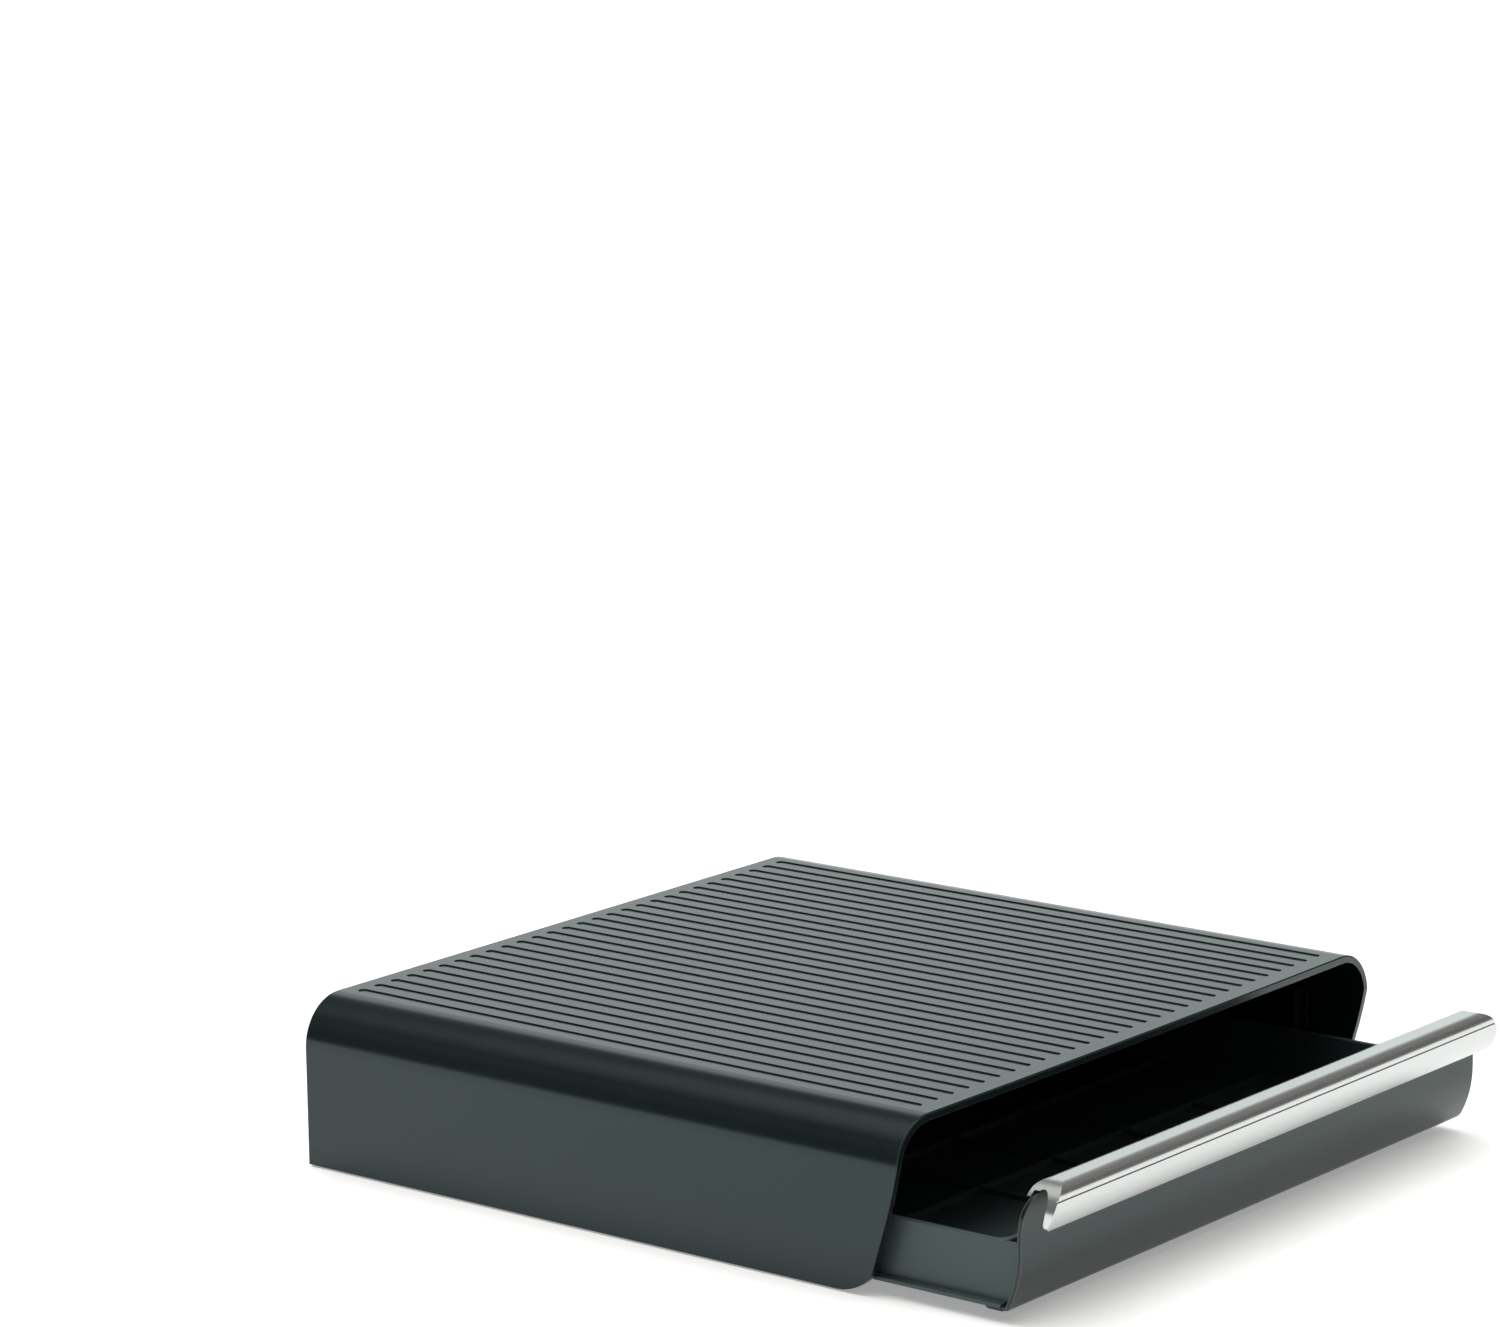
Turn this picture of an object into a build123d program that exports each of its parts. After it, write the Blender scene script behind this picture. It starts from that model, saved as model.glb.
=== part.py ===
from build123d import *
import math
import os

# Coffee pod drawer: a low stand with one wide tray that slides out of its front. Millimetres.
# X is the width, +Y points to the back and +Z up. The stand rests on Z = 0, and the origin is
# the middle of the footprint as the drawer stands here, pulled out by drawer_opening.

# ---- Case: the stand itself -----------------------------------------------------------------
case_width = 336.0
case_height = 72.0
case_depth = 309.0  # from the foot of the side walls' front edges to the back
floor_gap = 0.8  # the side walls stop this far above the worktop
skin = 3.1  # wall thickness of the case
case_corner = 20.5  # outer radius of the two long top edges
lip_lead = 2.0  # the top's front edge stands ahead of the walls' feet by this at its ends
lip_bow = 1.6  # and bows forward by this in the middle
lip_bevel = 0.4  # along the outside of the front edge

channel_count = 29
channel_pitch = 10.09
channel_width = 4.5
channel_depth = 0.5
channel_corner = 1.2
channel_front_margin = 8.6
channel_rear_margin = 6.8

# ---- Drawer: tray, front and handle -----------------------------------------------------------
drawer_opening = 61.0  # how far the drawer is pulled out here
handle_reach = 71.4  # from the walls' feet forward to the handle's face
tray_half = 159.6  # outer faces of the tray's side walls
runner_half = 163.2  # outer edges of the runners along the tray's floor
tray_wall = 2.2
tray_fillet = 2.5  # between the tray's floor and its walls
tray_floor_low = 6.2
tray_floor_top = 8.0
runner_top = 7.7
tray_rim = 32.2
front_half = 163.2
front_thickness = 2.0
handle_half = 160.7
handle_top = 56.9

inner_half = case_width / 2 - skin
front_y = -(case_depth - handle_reach) / 2
back_y = front_y + case_depth
back_thickness = 2.6
back_recess = 2.0  # the back panel stands this far inside the shell's rear edge
slack = 0.1  # between pieces that are screwed face to face
os.makedirs("parts", exist_ok=True)


def lip_y(x):
    """The top's front edge, bowed in plan."""
    return front_y - lip_lead - lip_bow * (1 - (2 * x / case_width) ** 2)


def on_outside(x, z):
    """Whether a place in the front view lies on the case's outer outline."""
    across = max(abs(x) - (case_width / 2 - case_corner), 0)
    above = max(z - (case_height - case_corner), 0)
    return math.hypot(across, above) > case_corner - 0.5


# ---- Case shell: top and both side walls in one moulding ------------------------------------------
# A tunnel section runs front to back. The side walls' front edges lean forward as they rise, and
# the top carries shallow channels that run with the drawer. Its underside is ribbed.
rib_low = 63.5
rib_width = 1.8
rib_columns = 5
rib_column_pitch = 56.0
rib_rows = 4
rib_row_pitch = 70.0
rib_row_first = front_y + 60.0
rib_margin = 20.0  # the long ribs end this far from the middle stretch's ends
return_lip = 8.6  # the walls turn in along the worktop, to carry the cross rails
return_top = 2.4
return_start = 24.0
boss_x = 112.0
boss_z = 60.0
boss_radius = 4.5
boss_length = 13.0
boss_web = 4.0
screw_radius = 1.5
screw_clear = 0.15
rail_rows = (front_y + 66.0, back_y - 52.0)  # centre lines of the two cross rails
flange_row = back_y - 10.5  # the back panel's lower screws
screw_x = inner_half - 4.4
base_screw_places = [
    (side * screw_x, row + step)
    for side in (-1, 1)
    for row, steps in ((rail_rows[0], (-9, 9)), (rail_rows[1], (-9, 9)), (flange_row, (0,)))
    for step in steps
]
foot_length = 21.0
foot_width = 8.0
foot_seat = 0.6
foot_places = [(side * screw_x, y) for side in (-1, 1) for y in (front_y + 41.0, back_y - 27.0)]

with BuildPart() as case_shell:
    with BuildSketch(Plane.XZ.offset(-back_y)):
        with BuildLine():
            outer = case_width / 2
            Polyline(
                (-outer, floor_gap), (-outer, case_height), (outer, case_height), (outer, floor_gap),
                (-outer, floor_gap),
            )
        make_face()
        fillet([v for v in vertices() if v.Y > floor_gap + 1], radius=case_corner)
    extrude(amount=case_depth + 12)
    with BuildSketch(Plane.XZ.offset(-back_y - 1)):
        with BuildLine():
            Polyline(
                (-inner_half, -1), (-inner_half, case_height - skin),
                (inner_half, case_height - skin), (inner_half, -1), (-inner_half, -1),
            )
        make_face()
        fillet([v for v in vertices() if v.Y > 0], radius=case_corner - skin)
    extrude(amount=case_depth + 20, mode=Mode.SUBTRACT)
    # longitudinal and cross ribs under the top, well behind the lip
    with BuildSketch(Plane.XY.offset(rib_low)):
        for column in range(rib_columns):
            rib_x = (column - (rib_columns - 1) / 2) * rib_column_pitch
            with Locations((rib_x, (front_y + back_y) / 2 + 10)):
                Rectangle(rib_width, case_depth - 2 * rib_margin)
        for row in range(rib_rows):
            with Locations((0, rib_row_first + row * rib_row_pitch)):
                Rectangle((rib_columns - 1) * rib_column_pitch + rib_width, rib_width)
    extrude(amount=case_height - skin - rib_low + 0.2)
    # bosses for the back panel's upper screws, hung from the top by a web
    with BuildSketch(Plane.XZ.offset(-(back_y - back_recess - back_thickness))):
        for side in (-1, 1):
            with Locations((side * boss_x, boss_z)):
                Circle(boss_radius)
            with Locations((side * boss_x, (boss_z + case_height - skin) / 2 + 0.1)):
                Rectangle(boss_web, case_height - skin - boss_z + 0.2)
    extrude(amount=boss_length)
    with BuildSketch(Plane.XZ.offset(-(back_y - back_recess - back_thickness))):
        for side in (-1, 1):
            with Locations((side * boss_x, boss_z)):
                Circle(screw_radius)
    extrude(amount=boss_length - 2, mode=Mode.SUBTRACT)
    # the walls' turned-in lower edges
    with BuildSketch(Plane.XY.offset(floor_gap)):
        for side in (-1, 1):
            edge_x = side * (inner_half - return_lip / 2 + 0.1)
            with Locations((edge_x, (front_y + return_start + back_y) / 2)):
                Rectangle(return_lip + 0.2, case_depth - return_start)
    extrude(amount=return_top - floor_gap)
    # side view: slanted front edge, easing upright at the top, with a turned-up front foot
    with BuildSketch(Plane.YZ):
        with BuildLine():
            foot = Line((back_y, floor_gap), (front_y + 27, floor_gap))
            heel = ThreePointArc(foot @ 1, (front_y + 17.6, 3.2), (front_y + 10.9, 8.1))
            slant = Line(heel @ 1, (front_y + 3.7, 31.0))
            ease = TangentArc(slant @ 1, (front_y - 2.8, 58.0), tangent=slant % 1)
            Polyline(
                ease @ 1, (front_y - 4.0, 64.0), (front_y - 4.0, case_height), (back_y, case_height),
                (back_y, floor_gap),
            )
        make_face()
    extrude(amount=case_width, both=True, mode=Mode.INTERSECT)
    # plan view: the lip's bow
    with BuildSketch(Plane.XY):
        with BuildLine():
            half = case_width / 2
            bow = ThreePointArc((-half, lip_y(half)), (0, lip_y(0)), (half, lip_y(half)))
            Polyline(bow @ 1, (half, back_y), (-half, back_y), bow @ 0)
        make_face()
    extrude(amount=case_height, mode=Mode.INTERSECT)
    # a fine bevel along the outside of the front edge
    near_front = [f for f in case_shell.faces() if f.center().Y < front_y + 8]
    rim_edges = {e for f in near_front if f.normal_at(f.center()).Y < -0.8 for e in f.edges()}
    chamfer([e for e in rim_edges if on_outside(e.center().X, e.center().Z)], lip_bevel)
    # the channels, with clipped corners at both ends
    with BuildSketch(Plane.XY.offset(case_height)):
        for number in range(channel_count):
            x = (number - (channel_count - 1) / 2) * channel_pitch
            channel_front = lip_y(x) + channel_front_margin
            channel_rear = back_y - channel_rear_margin
            with Locations((x, (channel_front + channel_rear) / 2)):
                Rectangle(channel_width, channel_rear - channel_front)
        chamfer(vertices(), channel_corner)
    extrude(amount=-channel_depth, mode=Mode.SUBTRACT)
    # screw holes through the turned-in edges, and shallow seats for the rubber feet
    with BuildSketch(Plane.XY):
        with Locations(*base_screw_places):
            Circle(screw_radius + screw_clear)
    extrude(amount=return_top + 1, mode=Mode.SUBTRACT)
    with BuildSketch(Plane.XY.offset(floor_gap)):
        with Locations(*foot_places):
            SlotOverall(foot_length + 0.3, foot_width + 0.3, rotation=90)
    extrude(amount=foot_seat, mode=Mode.SUBTRACT)
case_shell.part.label = "case_shell"
export_step(case_shell.part, "parts/case_shell.step")


# ---- Back panel: closes the tunnel behind the drawer --------------------------------------------
panel_rear = back_y - back_recess
panel_front = panel_rear - back_thickness + slack
flange_depth = 16.0
flange_top = 4.0
bumper_x = 69.0
bumper_z = 24.0
bumper_radius = 5.0
bumper_stem = 2.5
panel_rib_width = 1.8
panel_rib_deep = 1.2
panel_rib_rows = (16.0, 52.0)
panel_rib_length = 230.0
panel_rib_columns = 5
panel_rib_pitch = 46.0

with BuildPart() as back_panel:
    with BuildSketch(Plane.XZ.offset(-panel_rear)):
        with BuildLine():
            half = inner_half - 0.3
            low = return_top + slack
            high = case_height - skin - 0.3
            Polyline((-half, low), (-half, high), (half, high), (half, low), (-half, low))
        make_face()
        fillet([v for v in vertices() if v.Y > low + 1], radius=case_corner - skin - 0.3)
    extrude(amount=panel_rear - panel_front)
    # a flange turned forward at the foot, and shallow stiffening ribs on the inside
    with BuildSketch(Plane.XY.offset(return_top + slack)):
        with Locations((0, panel_rear - flange_depth / 2)):
            Rectangle(2 * inner_half - 1.0, flange_depth)
    extrude(amount=flange_top - return_top - slack)
    with BuildSketch(Plane.XZ.offset(-panel_front)):
        for height in panel_rib_rows:
            with Locations((0, height)):
                Rectangle(panel_rib_length, panel_rib_width)
        for column in range(panel_rib_columns):
            rib_x = (column - (panel_rib_columns - 1) / 2) * panel_rib_pitch
            with Locations((rib_x, sum(panel_rib_rows) / 2)):
                Rectangle(panel_rib_width, panel_rib_rows[1] - panel_rib_rows[0])
    extrude(amount=panel_rib_deep)
    # holes for the upper and lower screws, and for the bumpers' stems
    with BuildSketch(Plane.XZ.offset(-panel_rear - 1)):
        for side in (-1, 1):
            with Locations((side * boss_x, boss_z)):
                Circle(screw_radius + screw_clear)
            with Locations((side * bumper_x, bumper_z)):
                Circle(bumper_stem + 0.1)
    extrude(amount=8, mode=Mode.SUBTRACT)
    with BuildSketch(Plane.XY):
        with Locations(*[(x, y) for x, y in base_screw_places if y == flange_row]):
            Circle(screw_radius)
    extrude(amount=8, mode=Mode.SUBTRACT)
back_panel.part.label = "back_panel"
export_step(back_panel.part, "parts/back_panel.step")

# ---- Cross rails: two flat channels that tie the side walls together along the worktop ----------
rail_low = return_top + slack
rail_sheet = 1.2
rail_rim = 5.5
rail_depth = 30.0
rail_clip = 3.0  # at the corners
rail_rim_length = 300.0
rail_rim_width = 1.4
for name, row in (("base_front_rail", rail_rows[0]), ("base_rear_rail", rail_rows[1])):
    with BuildPart() as rail:
        with BuildSketch(Plane.XY.offset(rail_low)):
            with Locations((0, row)):
                Rectangle(2 * inner_half - 1.0, rail_depth)
            chamfer(vertices(), rail_clip)
        extrude(amount=rail_sheet)
        with BuildSketch(Plane.XY.offset(rail_low)):
            for edge in (-1, 1):
                with Locations((0, row + edge * (rail_depth - rail_rim_width) / 2)):
                    Rectangle(rail_rim_length, rail_rim_width)
        extrude(amount=rail_rim - rail_low)
        with BuildSketch(Plane.XY):
            with Locations(*[(x, y) for x, y in base_screw_places if abs(y - row) < rail_depth]):
                Circle(screw_radius + screw_clear)
        extrude(amount=9, mode=Mode.SUBTRACT)
    rail.part.label = name
    export_step(rail.part, f"parts/{name}.step")

# ---- Guides: one channel along each side wall, in which the tray's runners slide --------------------
guide_front = front_y + 34.0
guide_rear = back_y - 19.0
guide_outer = inner_half - slack
guide_reach = 8.4
guide_ledge_low = rail_low + rail_sheet + slack
guide_ledge_top = tray_floor_low - 0.3
guide_lip_low = runner_top + 0.3
guide_lip_top = 10.4
guide_web = 0.8
guide_lip_reach = 4.0
for name, side in (("left_guide", -1), ("right_guide", 1)):
    with BuildPart() as guide:
        with BuildSketch(Plane.XZ.offset(-guide_rear)):
            with BuildLine():
                Polyline(
                    (side * guide_outer, guide_ledge_low),
                    (side * guide_outer, guide_lip_top),
                    (side * (guide_outer - guide_lip_reach + 0.4), guide_lip_top),
                    (side * (guide_outer - guide_lip_reach), guide_lip_low),
                    (side * (guide_outer - guide_web), guide_lip_low),
                    (side * (guide_outer - guide_web), guide_ledge_top),
                    (side * (guide_outer - guide_reach), guide_ledge_top),
                    (side * (guide_outer - guide_reach), guide_ledge_low),
                    (side * guide_outer, guide_ledge_low),
                )
            make_face()
        extrude(amount=guide_rear - guide_front)
        # feet between the rails stand on the wall's turned-in edge
        with BuildSketch(Plane.XY.offset(return_top + slack)):
            for start, end in (
                (guide_front, rail_rows[0] - rail_depth / 2 - 1),
                (rail_rows[0] + rail_depth / 2 + 1, rail_rows[1] - rail_depth / 2 - 1),
                (rail_rows[1] + rail_depth / 2 + 1, guide_rear),
            ):
                with Locations((side * (guide_outer - guide_reach / 2), (start + end) / 2)):
                    Rectangle(guide_reach, end - start)
        extrude(amount=guide_ledge_low - return_top - slack + 0.2)
        # a flared mouth at the front, and the rail screws' pilot holes
        with BuildSketch(Plane.YZ):
            with BuildLine():
                Polyline(
                    (guide_front - 1, guide_lip_low + 1.2), (guide_front + 6, guide_lip_low - 0.1),
                    (guide_front + 6, guide_lip_low - 0.5), (guide_front - 1, guide_lip_low - 0.5),
                    (guide_front - 1, guide_lip_low + 1.2),
                )
            make_face()
        extrude(amount=side * (guide_outer - guide_web), mode=Mode.SUBTRACT)
        with BuildSketch(Plane.XY):
            with Locations(*[(x, y) for x, y in base_screw_places if x * side > 0 and y != flange_row]):
                Circle(screw_radius)
        extrude(amount=guide_ledge_top - 0.4, mode=Mode.SUBTRACT)
    guide.part.label = name
    export_step(guide.part, f"parts/{name}.step")

# ---- Stops: an upright strip on each side wall that catches the tray's lug when fully out ----------
stop_y = front_y + 32.6  # rear faces
stop_low = guide_lip_top + 0.2
stop_top = 50.0
stop_proud = 3.3
stop_rib = 1.8
stop_plate = 1.0
stop_wide = 6.0
stop_nose = 1.5  # clipped off the top of the rib
for name, side in (("left_stop", -1), ("right_stop", 1)):
    with BuildPart() as stop:
        with BuildSketch(Plane.XY.offset(stop_low)):
            wall_x = side * guide_outer
            with Locations((wall_x - side * stop_plate / 2, stop_y - stop_wide / 2)):
                Rectangle(stop_plate, stop_wide)
            with Locations((wall_x - side * stop_proud / 2, stop_y - stop_rib / 2)):
                Rectangle(stop_proud, stop_rib)
        extrude(amount=stop_top - stop_low)
        nose = stop.edges().filter_by(Axis.Y).group_by(Axis.Z)[-1].sort_by(Axis.X)[0 if side > 0 else -1]
        chamfer(nose, stop_nose)
    stop.part.label = name
    export_step(stop.part, f"parts/{name}.step")

# ---- Rubber feet and bumpers --------------------------------------------------------------------------
with BuildPart() as case_feet:
    with BuildSketch(Plane.XY):
        with Locations(*foot_places):
            SlotOverall(foot_length, foot_width, rotation=90)
    extrude(amount=floor_gap + foot_seat)
case_feet.part.label = "case_feet"
export_step(case_feet.part, "parts/case_feet.step")

tray_rear = 300.5  # from the walls' feet back, with the drawer shut
bumper_gap = 0.3
bumper_nose = front_y + tray_rear + bumper_gap
with BuildPart() as rear_bumpers:
    with BuildSketch(Plane.XZ.offset(-panel_front)):
        with Locations((-bumper_x, bumper_z), (bumper_x, bumper_z)):
            Circle(bumper_radius)
    extrude(amount=panel_front - bumper_nose)
    chamfer(rear_bumpers.edges().group_by(Axis.Y)[0], 1.0)
    with BuildSketch(Plane.XZ.offset(-panel_front)):
        with Locations((-bumper_x, bumper_z), (bumper_x, bumper_z)):
            Circle(bumper_stem)
    extrude(amount=-(panel_rear - panel_front))
rear_bumpers.part.label = "rear_bumpers"
export_step(rear_bumpers.part, "parts/rear_bumpers.step")

# ---- Screws: pan heads with a cross slot ------------------------------------------------------------------
head_radius = 2.9
head_height = 1.7
head_edge = 0.7  # chamfer round a head
low_head_height = 0.7  # the ten screws from below are flatter
slot_length = 3.2
slot_width = 0.7
slot_depth = 0.9
shank_radius = screw_radius - 0.02

with BuildPart() as base_screws:
    with BuildSketch(Plane.XY.offset(floor_gap - low_head_height)):
        with Locations(*base_screw_places):
            Circle(head_radius)
    extrude(amount=low_head_height)
    with BuildSketch(Plane.XY.offset(floor_gap)):
        with Locations(*base_screw_places):
            Circle(shank_radius)
    extrude(amount=3.0)
base_screws.part.label = "base_screws"
export_step(base_screws.part, "parts/base_screws.step")

with BuildPart() as back_screws:
    with BuildSketch(Plane.XZ.offset(-panel_rear)):
        with Locations((-boss_x, boss_z), (boss_x, boss_z)):
            Circle(head_radius)
    extrude(amount=-head_height)
    chamfer(back_screws.edges().group_by(Axis.Y)[-1], head_edge)
    with BuildSketch(Plane.XZ.offset(-panel_rear - head_height)):
        with Locations((-boss_x, boss_z), (boss_x, boss_z)):
            Rectangle(slot_length, slot_width)
            Rectangle(slot_width, slot_length)
    extrude(amount=slot_depth, mode=Mode.SUBTRACT)
    with BuildSketch(Plane.XZ.offset(-panel_rear)):
        with Locations((-boss_x, boss_z), (boss_x, boss_z)):
            Circle(shank_radius)
    extrude(amount=10.0)
back_screws.part.label = "back_screws"
export_step(back_screws.part, "parts/back_screws.step")

# ---- Drawer -----------------------------------------------------------------------------------------------
# Everything on the drawer is placed from drawer_y, which is where the walls' feet would be if the
# drawer were shut, so that the pieces keep their places in the closed case.
drawer_y = front_y - drawer_opening
tray_front = 13.5
front_screw_x = (-135.0, -45.0, 45.0, 135.0)
front_screw_z = 21.0
front_foot = (8.5, 8.0)  # the panel's face seen from the side, in y and z from the walls' feet
front_roll = (10.1, 5.8)  # and the lower edge, rolled back under the tray
front_low = 4.7
front_shin = (5.2, 16.0)
front_waist = (3.3, 30.0)
front_head = (-0.4, 53.6)
front_flange = 1.4  # thickness of the lower edge where it runs back
front_boss_radius = 4.0
front_low_radius = 4.5  # of the panel's lower corners
front_high_radius = 13.0  # and of its upper ones
cell = 51.05  # pitch of the ribs on the tray's floor
floor_rib_lines = 5
floor_rib_width = 1.4
floor_rib_tall = 2.2
tray_corner = 6.0
lug_y = 255.0
lug_reach = 3.0
lug_length = 6.0
lug_tall = 8.0

with BuildPart() as drawer_tray:
    tray_length = tray_rear - tray_front
    tray_middle = drawer_y + (tray_rear + tray_front) / 2
    with BuildSketch(Plane.XY.offset(tray_floor_low)):
        with Locations((0, tray_middle)):
            Rectangle(2 * tray_half, tray_length)
        fillet(vertices().group_by(Axis.Y)[-1], radius=tray_corner)
    extrude(amount=tray_rim - tray_floor_low)
    with BuildSketch(Plane.XY.offset(tray_floor_top)):
        with Locations((0, tray_middle)):
            RectangleRounded(2 * (tray_half - tray_wall), tray_length - 2 * tray_wall, tray_corner - 1.5)
    extrude(amount=40, mode=Mode.SUBTRACT)
    floor_line = [e for e in drawer_tray.edges() if abs(e.center().Z - tray_floor_top) < 0.01]
    fillet(floor_line, tray_fillet)
    chamfer(drawer_tray.edges().group_by(Axis.Z)[-1], 0.5)
    # runners along both sides, level with the floor
    with BuildSketch(Plane.XY.offset(tray_floor_low)):
        with Locations((0, tray_middle - 3)):
            Rectangle(2 * runner_half, tray_length - 6)
        with Locations((0, tray_middle - 3)):
            Rectangle(2 * tray_half - 0.4, tray_length + 20, mode=Mode.SUBTRACT)
    extrude(amount=runner_top - tray_floor_low)
    # the side walls run on to the back of the drawer front
    with BuildSketch(Plane.YZ.offset(tray_half)):
        with BuildLine():
            back_of_front = drawer_y + front_thickness + 0.4
            nose = ThreePointArc(
                (back_of_front + front_foot[0], front_foot[1]),
                (back_of_front + front_shin[0], front_shin[1]),
                (back_of_front + front_waist[0], tray_rim - 0.5),
            )
            wall_y = drawer_y + tray_front + 1
            Polyline(nose @ 1, (wall_y, tray_rim - 0.5), (wall_y, front_foot[1]), nose @ 0)
        make_face()
    extrude(amount=-tray_wall)
    mirror(drawer_tray.part.solids()[0], about=Plane.YZ)
    # low ribs that divide the floor into square cells
    with BuildSketch(Plane.XY.offset(tray_floor_top)):
        for line in range(floor_rib_lines):
            line_step = (line - (floor_rib_lines - 1) / 2) * cell
            with Locations((line_step, tray_middle)):
                Rectangle(floor_rib_width, tray_length - 2 * tray_wall)
            with Locations((0, tray_middle + line_step)):
                Rectangle(2 * (tray_half - tray_wall), floor_rib_width)
    extrude(amount=floor_rib_tall)
    # stop lugs on the outer faces of the side walls
    with BuildSketch(Plane.XY.offset(guide_lip_top + 0.8)):
        for side in (-1, 1):
            with Locations((side * (tray_half + lug_reach / 2 - 0.2), drawer_y + lug_y)):
                Rectangle(lug_reach, lug_length)
    extrude(amount=lug_tall)
    # screw holes through the front wall
    with BuildSketch(Plane.XZ.offset(-drawer_y - tray_front - 5)):
        with Locations(*[(x, front_screw_z) for x in front_screw_x]):
            Circle(screw_radius + screw_clear)
    extrude(amount=8, mode=Mode.SUBTRACT)
drawer_tray.part.label = "drawer_tray"
export_step(drawer_tray.part, "parts/drawer_tray.step")

# ---- Drawer front: a thin curved panel that fills the mouth of the case ------------------------------
with BuildPart() as drawer_front:
    with BuildSketch(Plane.YZ):
        with BuildLine():
            ends = []
            for step in (0, front_thickness):
                lower = ThreePointArc(
                    *[(drawer_y + y + step, z) for y, z in (front_foot, front_shin, front_waist)]
                )
                head = (drawer_y + front_head[0] + step, front_head[1])
                upper = TangentArc(lower @ 1, head, tangent=lower % 1)
                ends.append((lower @ 0, upper @ 1))
            Line(ends[0][1], ends[1][1])
            flange_end = drawer_y + tray_front - 0.3
            roll_y = drawer_y + front_roll[0]
            roll = ThreePointArc(ends[0][0], (roll_y, front_roll[1]), (roll_y + 2.6, front_low))
            Polyline(
                roll @ 1, (flange_end, front_low), (flange_end, front_low + front_flange),
                (roll_y + front_flange, front_low + front_flange + 0.5), ends[1][0],
            )
        make_face()
    extrude(amount=front_half, both=True)
    # bosses behind, reaching back to the tray's front wall
    with BuildSketch(Plane.XZ.offset(-drawer_y - tray_front + slack)):
        with Locations(*[(x, front_screw_z) for x in front_screw_x]):
            Circle(front_boss_radius)
    extrude(until=Until.NEXT)
    with BuildSketch(Plane.XZ.offset(-drawer_y - tray_front)):
        with Locations(*[(x, front_screw_z) for x in front_screw_x]):
            Circle(screw_radius)
    extrude(amount=6.5, mode=Mode.SUBTRACT)
    # front view: small radii at the foot, large ones beside the handle
    with BuildSketch(Plane.XZ.offset(-drawer_y - 30)):
        with BuildLine():
            low = front_low - 0.5
            high = front_head[1] + 0.5
            Polyline(
                (-front_half, low), (-front_half, high), (front_half, high), (front_half, low),
                (-front_half, low),
            )
        make_face()
        fillet(vertices().group_by(Axis.Y)[0], radius=front_low_radius)
        fillet(vertices().group_by(Axis.Y)[-1], radius=front_high_radius)
    extrude(amount=60, mode=Mode.INTERSECT)
drawer_front.part.label = "drawer_front"
export_step(drawer_front.part, "parts/drawer_front.step")

# ---- Handle: a hooked bar along the top of the drawer front -----------------------------------------------
# Its section rests on the panel's top edge with a short lip behind it, arches forward over a finger
# gap and comes down as a band that thins to its lower edge. A fine groove runs along the outer face.
handle_low = 39.0
handle_low_radius = 3.0  # of the bar's ends, seen from the front
handle_high_radius = 12.5
groove_z = 51.3
groove_tall = 0.8
groove_deep = 0.6
lip_face = -10.4
with BuildPart() as handle:
    section = Plane(origin=(-handle_half, drawer_y, 0), x_dir=(0, 1, 0), z_dir=(1, 0, 0))
    with BuildSketch(section):
        with BuildLine():
            band = ThreePointArc((-6.2, 39.4), (-9.2, 45.0), (lip_face, groove_z - groove_tall / 2))
            Polyline(
                band @ 1, (lip_face + groove_deep, groove_z - groove_tall / 2),
                (lip_face + groove_deep, groove_z + groove_tall / 2), (lip_face, groove_z + groove_tall / 2),
            )
            ridge = ThreePointArc((lip_face, groove_z + groove_tall / 2), (-8.95, 55.4), (-5.3, handle_top))
            top = Line(ridge @ 1, (0.2, handle_top))
            brow = ThreePointArc(top @ 1, (2.5, 56.0), (3.6, 53.9))
            tail = Line(brow @ 1, (4.1, 51.6))
            foot = Line(tail @ 1, (2.5, 51.6))
            leg_front = Line(foot @ 1, (1.85, 53.75))
            ceiling = Line(leg_front @ 1, (-0.5, 53.75))
            arch = ThreePointArc(ceiling @ 1, (-2.4, 54.4), (-4.3, 53.6))
            cheek = TangentArc(arch @ 1, (-6.1, 48.5), tangent=arch % 1)
            inside = TangentArc(cheek @ 1, (-5.0, 42.0), tangent=cheek % 1)
            Polyline(inside @ 1, (-5.3, 39.9), band @ 0)
        make_face()
    extrude(amount=2 * handle_half)
    # front view: rounded ends
    with BuildSketch(Plane.XZ.offset(-drawer_y - 30)):
        with Locations((0, (handle_low + handle_top) / 2)):
            Rectangle(2 * handle_half, handle_top - handle_low)
        fillet(vertices().group_by(Axis.Y)[0], radius=handle_low_radius)
        fillet(vertices().group_by(Axis.Y)[-1], radius=handle_high_radius)
    extrude(amount=60, mode=Mode.INTERSECT)
handle.part.label = "handle"
export_step(handle.part, "parts/handle.step")

# ---- Screws of the drawer front, and the tray's front feet ------------------------------------------------
front_foot_x = 153.5
front_foot_side = 11.0
front_foot_low = 3.2
head_seat = drawer_y + tray_front + tray_wall + 0.02
with BuildPart() as front_screws:
    with BuildSketch(Plane.XZ.offset(-head_seat)):
        with Locations(*[(x, front_screw_z) for x in front_screw_x]):
            Circle(head_radius)
    extrude(amount=-head_height)
    chamfer(front_screws.edges().group_by(Axis.Y)[-1], head_edge)
    with BuildSketch(Plane.XZ.offset(-head_seat)):
        with Locations(*[(x, front_screw_z) for x in front_screw_x]):
            Circle(shank_radius)
    extrude(amount=8.0)
front_screws.part.label = "front_screws"
export_step(front_screws.part, "parts/front_screws.step")

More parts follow.
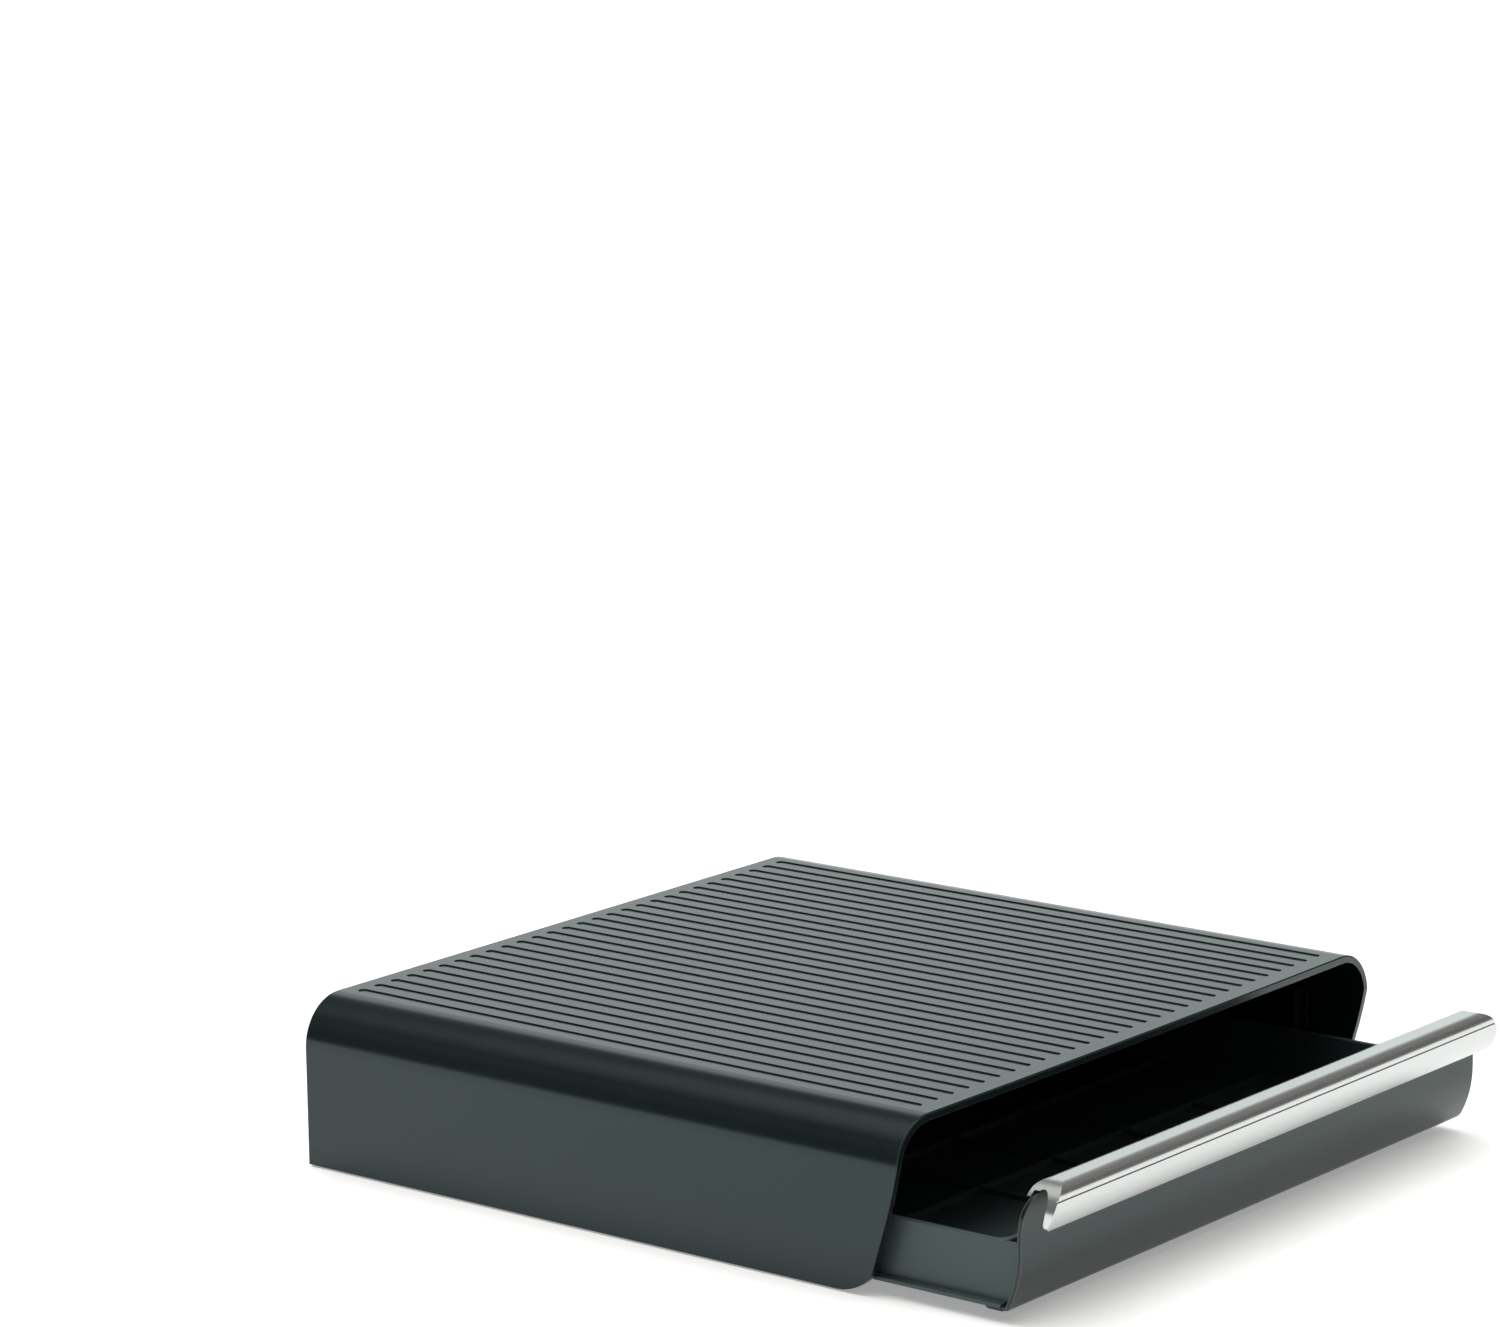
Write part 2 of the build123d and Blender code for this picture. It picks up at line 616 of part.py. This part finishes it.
with BuildPart() as front_feet:
    with BuildSketch(Plane.XY.offset(front_foot_low)):
        for side in (-1, 1):
            with Locations((side * front_foot_x, drawer_y + tray_front + 6.0)):
                Rectangle(front_foot_side, front_foot_side)
        chamfer(vertices(), 2.0)
    extrude(amount=tray_floor_low - front_foot_low)
    chamfer(front_feet.edges().group_by(Axis.Z)[0], 0.8)
front_feet.part.label = "front_feet"
export_step(front_feet.part, "parts/front_feet.step")
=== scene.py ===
import math

import bmesh
import bpy
from mathutils import Matrix, Vector

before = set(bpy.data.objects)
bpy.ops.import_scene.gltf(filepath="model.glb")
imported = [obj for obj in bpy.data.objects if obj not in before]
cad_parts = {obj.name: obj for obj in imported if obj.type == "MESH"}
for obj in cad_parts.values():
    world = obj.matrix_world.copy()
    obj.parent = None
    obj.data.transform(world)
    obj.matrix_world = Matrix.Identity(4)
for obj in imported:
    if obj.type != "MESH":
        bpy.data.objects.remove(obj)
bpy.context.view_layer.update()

# ---- Case shell ---------------------------------------------------------------------------------
# The stand itself: top and both side walls moulded in one piece of dark plastic with a satin
# finish. The mould leaves a very fine grain, and a pale painted highlight stands on the edges. The
# top's channels keep their dark edges, without the painted highlight.


def new_group(name, inputs, outputs):
    """An empty shader group with named sockets: (name, type, default) in and (name, type) out."""
    group = bpy.data.node_groups.new(name, "ShaderNodeTree")
    for label, kind, default in inputs:
        socket = group.interface.new_socket(label, in_out="INPUT", socket_type=kind)
        socket.default_value = default
    for label, kind in outputs:
        group.interface.new_socket(label, in_out="OUTPUT", socket_type=kind)
    return group, group.nodes.new("NodeGroupInput"), group.nodes.new("NodeGroupOutput")


def grain_and_painted_edges():
    """Fine grain from the mould, slow drifts of tone, and edges slightly rounded, with a pale painted
    highlight on them.
    """
    drift_scale = 9.0  # per metre, so the tone drifts over a hand's breadth
    grain_share = 0.35  # of grain in the tone, against the drift
    grain_depth = 0.00012  # in metres, at full relief
    no_highlight, full_highlight = 0.99, 0.85  # cosines of the angle by which an edge's rounding turns its face, where the painted highlight starts and where it is full
    group, start, end = new_group(
        "grain_and_painted_edges",
        [
            ("Dark", "NodeSocketColor", (0.02, 0.02, 0.02, 1)),
            ("Light", "NodeSocketColor", (0.04, 0.04, 0.04, 1)),
            ("Grain size", "NodeSocketFloat", 0.0005),
            ("Smooth", "NodeSocketFloat", 0.3),
            ("Rough", "NodeSocketFloat", 0.45),
            ("Relief", "NodeSocketFloat", 0.1),
            ("Edge radius", "NodeSocketFloat", 0.0005),
            ("Edge highlight tone", "NodeSocketColor", (0.2, 0.2, 0.2, 1)),
            ("Edge highlight", "NodeSocketFloat", 0.0),
            ("Highlight below", "NodeSocketFloat", 1.0),
        ],
        [("Color", "NodeSocketColor"), ("Roughness", "NodeSocketFloat"), ("Normal", "NodeSocketVector")],
    )
    make, link = group.nodes.new, group.links.new
    place = make("ShaderNodeTexCoord")

    # the grain itself, and a drift of tone beneath it
    per_metre = make("ShaderNodeMath")
    per_metre.operation = "DIVIDE"
    per_metre.inputs[0].default_value = 1.0
    link(start.outputs["Grain size"], per_metre.inputs[1])
    grain = make("ShaderNodeTexNoise")
    grain.inputs["Detail"].default_value = 3.0
    link(place.outputs["Object"], grain.inputs["Vector"])
    link(per_metre.outputs["Value"], grain.inputs["Scale"])
    drift = make("ShaderNodeTexNoise")
    drift.inputs["Scale"].default_value = drift_scale
    drift.inputs["Detail"].default_value = 2.0
    link(place.outputs["Object"], drift.inputs["Vector"])
    speck = make("ShaderNodeMix")
    speck.inputs["Factor"].default_value = grain_share
    link(drift.outputs["Fac"], speck.inputs["A"])
    link(grain.outputs["Fac"], speck.inputs["B"])
    tone = make("ShaderNodeMix")
    tone.data_type = "RGBA"
    link(speck.outputs["Result"], tone.inputs["Factor"])
    link(start.outputs["Dark"], tone.inputs["A"])
    link(start.outputs["Light"], tone.inputs["B"])
    polish = make("ShaderNodeMix")
    link(speck.outputs["Result"], polish.inputs["Factor"])
    link(start.outputs["Smooth"], polish.inputs["A"])
    link(start.outputs["Rough"], polish.inputs["B"])
    link(polish.outputs["Result"], end.inputs["Roughness"])

    # edges: rounded by a bevel of the normal, on which the grain then stands
    rounded = make("ShaderNodeBevel")
    rounded.samples = 8
    link(start.outputs["Edge radius"], rounded.inputs["Radius"])
    bump = make("ShaderNodeBump")
    bump.inputs["Distance"].default_value = grain_depth
    link(start.outputs["Relief"], bump.inputs["Strength"])
    link(grain.outputs["Fac"], bump.inputs["Height"])
    link(rounded.outputs["Normal"], bump.inputs["Normal"])
    link(bump.outputs["Normal"], end.inputs["Normal"])

    # and a pale painted highlight where the bevel turns the face, up to a given height
    face = make("ShaderNodeNewGeometry")
    turn = make("ShaderNodeVectorMath")
    turn.operation = "DOT_PRODUCT"
    link(rounded.outputs["Normal"], turn.inputs[0])
    link(face.outputs["Normal"], turn.inputs[1])
    highlit = make("ShaderNodeMapRange")
    highlit.inputs["From Min"].default_value = no_highlight
    highlit.inputs["From Max"].default_value = full_highlight
    link(turn.outputs["Value"], highlit.inputs["Value"])
    link(start.outputs["Edge highlight"], highlit.inputs["To Max"])
    height = make("ShaderNodeSeparateXYZ")
    link(place.outputs["Object"], height.inputs["Vector"])
    reached = make("ShaderNodeMath")
    reached.operation = "LESS_THAN"
    link(height.outputs["Z"], reached.inputs[0])
    link(start.outputs["Highlight below"], reached.inputs[1])
    painted_highlight = make("ShaderNodeMath")
    painted_highlight.operation = "MULTIPLY"
    link(highlit.outputs["Result"], painted_highlight.inputs[0])
    link(reached.outputs["Value"], painted_highlight.inputs[1])
    colour = make("ShaderNodeMix")
    colour.data_type = "RGBA"
    link(painted_highlight.outputs["Value"], colour.inputs["Factor"])
    link(tone.outputs["Result"], colour.inputs["A"])
    link(start.outputs["Edge highlight tone"], colour.inputs["B"])
    link(colour.outputs["Result"], end.inputs["Color"])
    return group


GRAIN_AND_EDGE_HIGHLIGHT = grain_and_painted_edges()
# the pale, slightly warm tone of the painted highlight on edges
PAINTED_EDGE_HIGHLIGHT = (0.22, 0.22, 0.20, 1)
PLASTIC_IOR = 1.48
PLASTIC_SHEEN = (0.76, 0.98, 1.0, 1)  # what it mirrors looks a little blue
ANYWHERE = 1.0  # in metres, higher than the whole object


def plastic(name, dark, light, smooth, rough, relief, grain=0.0005, edge=0.0005, edge_highlight=0.0, highlight_below=ANYWHERE):
    """Moulded plastic or a coat like it: two tones, two roughnesses, its grain, and a pale painted
    highlight on its edges.
    """
    material = bpy.data.materials.new(name)
    material.use_nodes = True
    nodes, links = material.node_tree.nodes, material.node_tree.links
    shader = nodes["Principled BSDF"]
    moulded = nodes.new("ShaderNodeGroup")
    moulded.node_tree = GRAIN_AND_EDGE_HIGHLIGHT
    moulded.inputs["Dark"].default_value = (*dark, 1)
    moulded.inputs["Light"].default_value = (*light, 1)
    moulded.inputs["Grain size"].default_value = grain
    moulded.inputs["Smooth"].default_value = smooth
    moulded.inputs["Rough"].default_value = rough
    moulded.inputs["Relief"].default_value = relief
    moulded.inputs["Edge radius"].default_value = edge
    moulded.inputs["Edge highlight tone"].default_value = PAINTED_EDGE_HIGHLIGHT
    moulded.inputs["Edge highlight"].default_value = edge_highlight
    moulded.inputs["Highlight below"].default_value = highlight_below
    shader.inputs["IOR"].default_value = PLASTIC_IOR
    shader.inputs["Specular Tint"].default_value = PLASTIC_SHEEN
    links.new(moulded.outputs["Color"], shader.inputs["Base Color"])
    links.new(moulded.outputs["Roughness"], shader.inputs["Roughness"])
    links.new(moulded.outputs["Normal"], shader.inputs["Normal"])
    return material


def dress(node, material):
    """Gives a CAD node its one finish."""
    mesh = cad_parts[node].data
    mesh.materials.clear()
    mesh.materials.append(material)


EDGE_HIGHLIGHT_TOP = 0.0706  # in metres, the height up to which edges get the painted highlight, so the top's channels keep their edges dark

case_plastic = plastic(
    "case_plastic",
    dark=(0.006, 0.010, 0.012),
    light=(0.011, 0.018, 0.021),
    smooth=0.15,
    rough=0.23,
    relief=0.04,
    edge=0.0004,
    # a pale painted highlight on the edges, up to the channels' height
    edge_highlight=0.8,
    highlight_below=EDGE_HIGHLIGHT_TOP,
)
dress("case_shell", case_plastic)

# ---- Back panel ---------------------------------------------------------------------------------
# A flat moulded panel in the same plastic with a coarser grain, set just inside the shell's back
# edge and held by two screws above and two below.
back_plastic = plastic(
    "back_plastic",
    dark=(0.008, 0.014, 0.016),
    light=(0.014, 0.022, 0.024),
    smooth=0.45,
    rough=0.58,
    relief=0.3,
    grain=0.0008,
)
dress("back_panel", back_plastic)

# ---- Cross rails --------------------------------------------------------------------------------
# Two flat steel channels, folded from sheet and powder-coated dark. They are screwed from below to
# the side walls' turned-in lower edges, and tie the walls together along the worktop.
rail_coat = plastic(
    "rail_coat",
    dark=(0.018, 0.018, 0.019),
    light=(0.030, 0.030, 0.031),
    smooth=0.5,
    rough=0.65,
    relief=0.6,
    grain=0.0012,
)
for rail in ("base_front_rail", "base_rear_rail"):
    dress(rail, rail_coat)

# ---- Guides and stops ---------------------------------------------------------------------------
# Slippery black mouldings on the side walls: the channels that the runners slide in, and the
# upright strips that stop the tray.
guide_plastic = plastic(
    "guide_plastic",
    dark=(0.016, 0.017, 0.018),
    light=(0.024, 0.025, 0.026),
    smooth=0.38,
    rough=0.5,
    relief=0.15,
)
for guide in ("left_guide", "right_guide", "left_stop", "right_stop"):
    dress(guide, guide_plastic)

# ---- Rubber feet and bumpers --------------------------------------------------------------------
# Soft black rubber, matt and slightly dusty: four long feet under the side walls, and two round
# bumpers whose stems are pushed through the back panel.
foot_rubber = plastic(
    "foot_rubber",
    dark=(0.012, 0.012, 0.012),
    light=(0.022, 0.022, 0.022),
    smooth=0.75,
    rough=0.9,
    relief=0.5,
    grain=0.0007,
)
for pad in ("case_feet", "rear_bumpers"):
    dress(pad, foot_rubber)

# ---- Tray ---------------------------------------------------------------------------------------
# An open moulding in dark slate plastic, matt inside, with runners along both sides. Two small
# pads of the guides' plastic sit under its front corners.
tray_plastic = plastic(
    "tray_plastic",
    dark=(0.052, 0.068, 0.074),
    light=(0.070, 0.090, 0.098),
    smooth=0.34,
    rough=0.46,
    relief=0.2,
    grain=0.0006,
    edge=0.0004,
    # a weaker pale painted highlight on the edges
    edge_highlight=0.3,
)
dress("drawer_tray", tray_plastic)
dress("front_feet", guide_plastic)

# ---- Drawer front -------------------------------------------------------------------------------
# A thin curved panel in plastic like the case's, with the same satin finish and a pale painted
# highlight on its edges. Four bosses moulded behind it take the screws that hold it to the tray.
front_plastic = plastic(
    "front_plastic",
    dark=(0.005, 0.012, 0.010),
    light=(0.009, 0.018, 0.016),
    smooth=0.18,
    rough=0.28,
    relief=0.05,
    edge=0.0006,
    # a full pale painted highlight on the edges
    edge_highlight=1.0,
)
dress("drawer_front", front_plastic)

# ---- Handle -------------------------------------------------------------------------------------
# A hooked bar painted satin silver, with fine flake in the paint and a groove along its face. It
# grips the top edge of the drawer front.
FLAKE_SCALE = 2500.0  # specks of about 0.4 mm


def speckled_metal(name, metallic, dark, light, smooth, rough, scale):
    """Metal or metal paint whose tone and roughness follow one noise, scaled per metre."""
    material = bpy.data.materials.new(name)
    material.use_nodes = True
    nodes, links = material.node_tree.nodes, material.node_tree.links
    shader = nodes["Principled BSDF"]
    shader.inputs["Metallic"].default_value = metallic
    place = nodes.new("ShaderNodeTexCoord")
    speck = nodes.new("ShaderNodeTexNoise")
    speck.inputs["Scale"].default_value = scale
    speck.inputs["Detail"].default_value = 2.0
    links.new(place.outputs["Object"], speck.inputs["Vector"])
    tone = nodes.new("ShaderNodeMix")
    tone.data_type = "RGBA"
    tone.inputs["A"].default_value = (*dark, 1)
    tone.inputs["B"].default_value = (*light, 1)
    links.new(speck.outputs["Fac"], tone.inputs["Factor"])
    links.new(tone.outputs["Result"], shader.inputs["Base Color"])
    gloss = nodes.new("ShaderNodeMapRange")
    gloss.inputs["To Min"].default_value = smooth
    gloss.inputs["To Max"].default_value = rough
    links.new(speck.outputs["Fac"], gloss.inputs["Value"])
    links.new(gloss.outputs["Result"], shader.inputs["Roughness"])
    return material


handle_silver = speckled_metal(
    "handle_silver",
    metallic=0.88,
    dark=(0.57, 0.59, 0.59),
    light=(0.65, 0.67, 0.67),
    smooth=0.20,
    rough=0.29,
    scale=FLAKE_SCALE,
)
dress("handle", handle_silver)

# ---- Screws -------------------------------------------------------------------------------------
# Zinc-plated steel with a faint bluish passivation: ten flat-headed screws from below, two pan
# heads at the back, and four that hold the drawer front from inside the tray.
CLOUD_SCALE = 600.0  # the plating clouds over a millimetre or two

screw_zinc = speckled_metal(
    "screw_zinc",
    metallic=1.0,
    dark=(0.46, 0.47, 0.50),
    light=(0.62, 0.62, 0.63),
    smooth=0.28,
    rough=0.45,
    scale=CLOUD_SCALE,
)
for screws in ("base_screws", "back_screws", "front_screws"):
    dress(screws, screw_zinc)

# ---- Studio floor -------------------------------------------------------------------------------
# A plain white sheet that runs out of view. It keeps the stand's shadow. To the camera and in
# reflections it glows a little, so that it meets the white backdrop without a line.
FLOOR_HALF = 14.0  # metres from the middle to each side
FLOOR_WHITE = 0.90
FLOOR_LIFT = 0.32  # strength of the glow


def either(nodes, links, first, second):
    """One where either of two masks is one."""
    mask = nodes.new("ShaderNodeMath")
    mask.operation = "MAXIMUM"
    links.new(first, mask.inputs[0])
    links.new(second, mask.inputs[1])
    return mask.outputs["Value"]


def studio_floor():
    """The sheet, and its white with a glow that only camera, glossy and transmission rays see."""
    mesh = bpy.data.meshes.new("floor")
    shape = bmesh.new()
    bmesh.ops.create_grid(shape, x_segments=1, y_segments=1, size=FLOOR_HALF)
    shape.to_mesh(mesh)
    shape.free()
    floor = bpy.data.objects.new("floor", mesh)
    bpy.context.scene.collection.objects.link(floor)
    material = bpy.data.materials.new("floor_white")
    material.use_nodes = True
    nodes, links = material.node_tree.nodes, material.node_tree.links
    shader = nodes["Principled BSDF"]
    shader.inputs["Base Color"].default_value = (FLOOR_WHITE, FLOOR_WHITE, FLOOR_WHITE, 1)
    shader.inputs["Roughness"].default_value = 0.9
    shader.inputs["Specular IOR Level"].default_value = 0.0
    shader.inputs["Emission Color"].default_value = (1, 1, 1, 1)
    path = nodes.new("ShaderNodeLightPath")
    mirrored = either(nodes, links, path.outputs["Is Glossy Ray"], path.outputs["Is Transmission Ray"])
    seen = either(nodes, links, path.outputs["Is Camera Ray"], mirrored)
    lift = nodes.new("ShaderNodeMath")
    lift.operation = "MULTIPLY"
    lift.inputs[1].default_value = FLOOR_LIFT
    links.new(seen, lift.inputs[0])
    links.new(lift.outputs["Value"], shader.inputs["Emission Strength"])
    mesh.materials.append(material)


studio_floor()

# ---- Studio lamp --------------------------------------------------------------------------------
# One far and very wide lamp overhead, which lights the stand softly. It is hidden from
# reflections, where the surround's bright panel shows in its place.
LAMP_TOWARD = (-0.10, -0.20, -1.0)  # where its light goes
LAMP_SPREAD = 75  # degrees, wide enough for very soft shadows
LAMP_POWER = 2.1


def overhead_lamp():
    """A sun lamp that shines down, and a little toward the stand's front and left."""
    light = bpy.data.lights.new("key", "SUN")
    light.angle = math.radians(LAMP_SPREAD)
    light.energy = LAMP_POWER
    lamp = bpy.data.objects.new("key", light)
    lamp.rotation_euler = Vector(LAMP_TOWARD).to_track_quat("-Z", "Y").to_euler()
    lamp.visible_glossy = False
    bpy.context.scene.collection.objects.link(lamp)


overhead_lamp()

# ---- Studio surround ----------------------------------------------------------------------------
# What the plastic and the silver mirror: a white backdrop behind the stand, a dim room on the
# other sides, and a bright panel overhead. The camera itself sees plain white.
BACKDROP_TINT = (0.93, 0.99, 0.98)
BACKDROP_TOWARD = (0.45, 0.89, 0.0)  # from the stand to the backdrop
BACKDROP_EDGES = (0.40, 0.70)  # cosines of the angle off it at which the backdrop starts and is full
ROOM_TINT = (1.0, 0.97, 0.90)

# (sine of the height above the horizon, brightness): bright at the horizon and again overhead
BACKDROP_LEVELS = ((0.0, 1.0), (0.50, 1.0), (0.60, 0.12), (0.74, 0.10), (0.88, 1.0), (1.0, 1.0))
ROOM_LEVELS = ((0.0, 0.9), (0.03, 0.09), (0.35, 0.09), (0.50, 0.20), (0.62, 0.09), (0.88, 1.0))


def level_ramp(nodes, tint, levels):
    """A ramp from height to tinted brightness, with a step for each of the levels."""
    ramp = nodes.new("ShaderNodeValToRGB")
    ramp.color_ramp.interpolation = "EASE"
    steps = ramp.color_ramp.elements
    while len(steps) < len(levels):
        steps.new(0.5)
    for step, (sine, level) in zip(steps, levels):
        step.position = sine
        step.color = (*[level * channel for channel in tint], 1)
    return ramp


def studio_world():
    """The world: both sides blended by direction for light and reflections, white for the camera."""
    world = bpy.data.worlds.new("studio")
    bpy.context.scene.world = world
    world.use_nodes = True
    nodes, links = world.node_tree.nodes, world.node_tree.links
    surround = nodes["Background"]
    place = nodes.new("ShaderNodeTexCoord")
    height = nodes.new("ShaderNodeSeparateXYZ")
    links.new(place.outputs["Generated"], height.inputs["Vector"])
    backdrop_side = level_ramp(nodes, BACKDROP_TINT, BACKDROP_LEVELS)
    room_side = level_ramp(nodes, ROOM_TINT, ROOM_LEVELS)
    links.new(height.outputs["Z"], backdrop_side.inputs["Fac"])
    links.new(height.outputs["Z"], room_side.inputs["Fac"])
    facing = nodes.new("ShaderNodeVectorMath")
    facing.operation = "DOT_PRODUCT"
    facing.inputs[1].default_value = BACKDROP_TOWARD
    links.new(place.outputs["Generated"], facing.inputs[0])
    behind = nodes.new("ShaderNodeMapRange")
    behind.interpolation_type = "SMOOTHSTEP"
    behind.inputs["From Min"].default_value = BACKDROP_EDGES[0]
    behind.inputs["From Max"].default_value = BACKDROP_EDGES[1]
    links.new(facing.outputs["Value"], behind.inputs["Value"])
    around = nodes.new("ShaderNodeMix")
    around.data_type = "RGBA"
    links.new(behind.outputs["Result"], around.inputs["Factor"])
    links.new(room_side.outputs["Color"], around.inputs["A"])
    links.new(backdrop_side.outputs["Color"], around.inputs["B"])
    links.new(around.outputs["Result"], surround.inputs["Color"])
    backdrop = nodes.new("ShaderNodeBackground")
    backdrop.inputs["Color"].default_value = (1, 1, 1, 1)
    backdrop.inputs["Strength"].default_value = 1.0
    path = nodes.new("ShaderNodeLightPath")
    seen = nodes.new("ShaderNodeMixShader")
    links.new(path.outputs["Is Camera Ray"], seen.inputs["Fac"])
    links.new(surround.outputs["Background"], seen.inputs[1])
    links.new(backdrop.outputs["Background"], seen.inputs[2])
    links.new(seen.outputs["Shader"], nodes["World Output"].inputs["Surface"])


studio_world()

# ---- Camera -------------------------------------------------------------------------------------
# The camera that took the photograph. Its place, angles and focal length are fitted to the edges
# of the case in the picture.
CAMERA_PLACE = (-1.72245, -1.31064, 0.64809)
CAMERA_AZIMUTH = -51.01  # degrees round from straight in front
CAMERA_PITCH = 11.42  # degrees, looking down
CAMERA_ROLL = -0.79  # degrees
FILM_WIDTH = 36.0  # millimetres, as is the focal length
FOCAL_LENGTH = 127.52
SIGHT_END = 60.0  # metres, past the floor's far corner


def photo_camera():
    """Turns the three angles into the camera's own axes and makes it the scene's camera."""
    azimuth, pitch, roll = [math.radians(angle) for angle in (CAMERA_AZIMUTH, CAMERA_PITCH, CAMERA_ROLL)]
    level = Vector((math.cos(azimuth), math.sin(azimuth), 0))
    ahead = Vector((-math.sin(azimuth), math.cos(azimuth), 0))
    back = Vector((0, 0, math.sin(pitch))) - ahead * math.cos(pitch)
    upright = back.cross(level)
    right = level * math.cos(roll) + upright * math.sin(roll)
    up = upright * math.cos(roll) - level * math.sin(roll)
    lens = bpy.data.cameras.new("camera")
    lens.sensor_fit = "HORIZONTAL"
    lens.sensor_width = FILM_WIDTH
    lens.lens = FOCAL_LENGTH
    lens.clip_end = SIGHT_END
    camera = bpy.data.objects.new("camera", lens)
    turn = Matrix((right, up, back)).transposed().to_4x4()
    camera.matrix_world = Matrix.Translation(Vector(CAMERA_PLACE)) @ turn
    bpy.context.scene.collection.objects.link(camera)
    bpy.context.scene.camera = camera


photo_camera()
bpy.context.scene.view_settings.view_transform = "Standard"
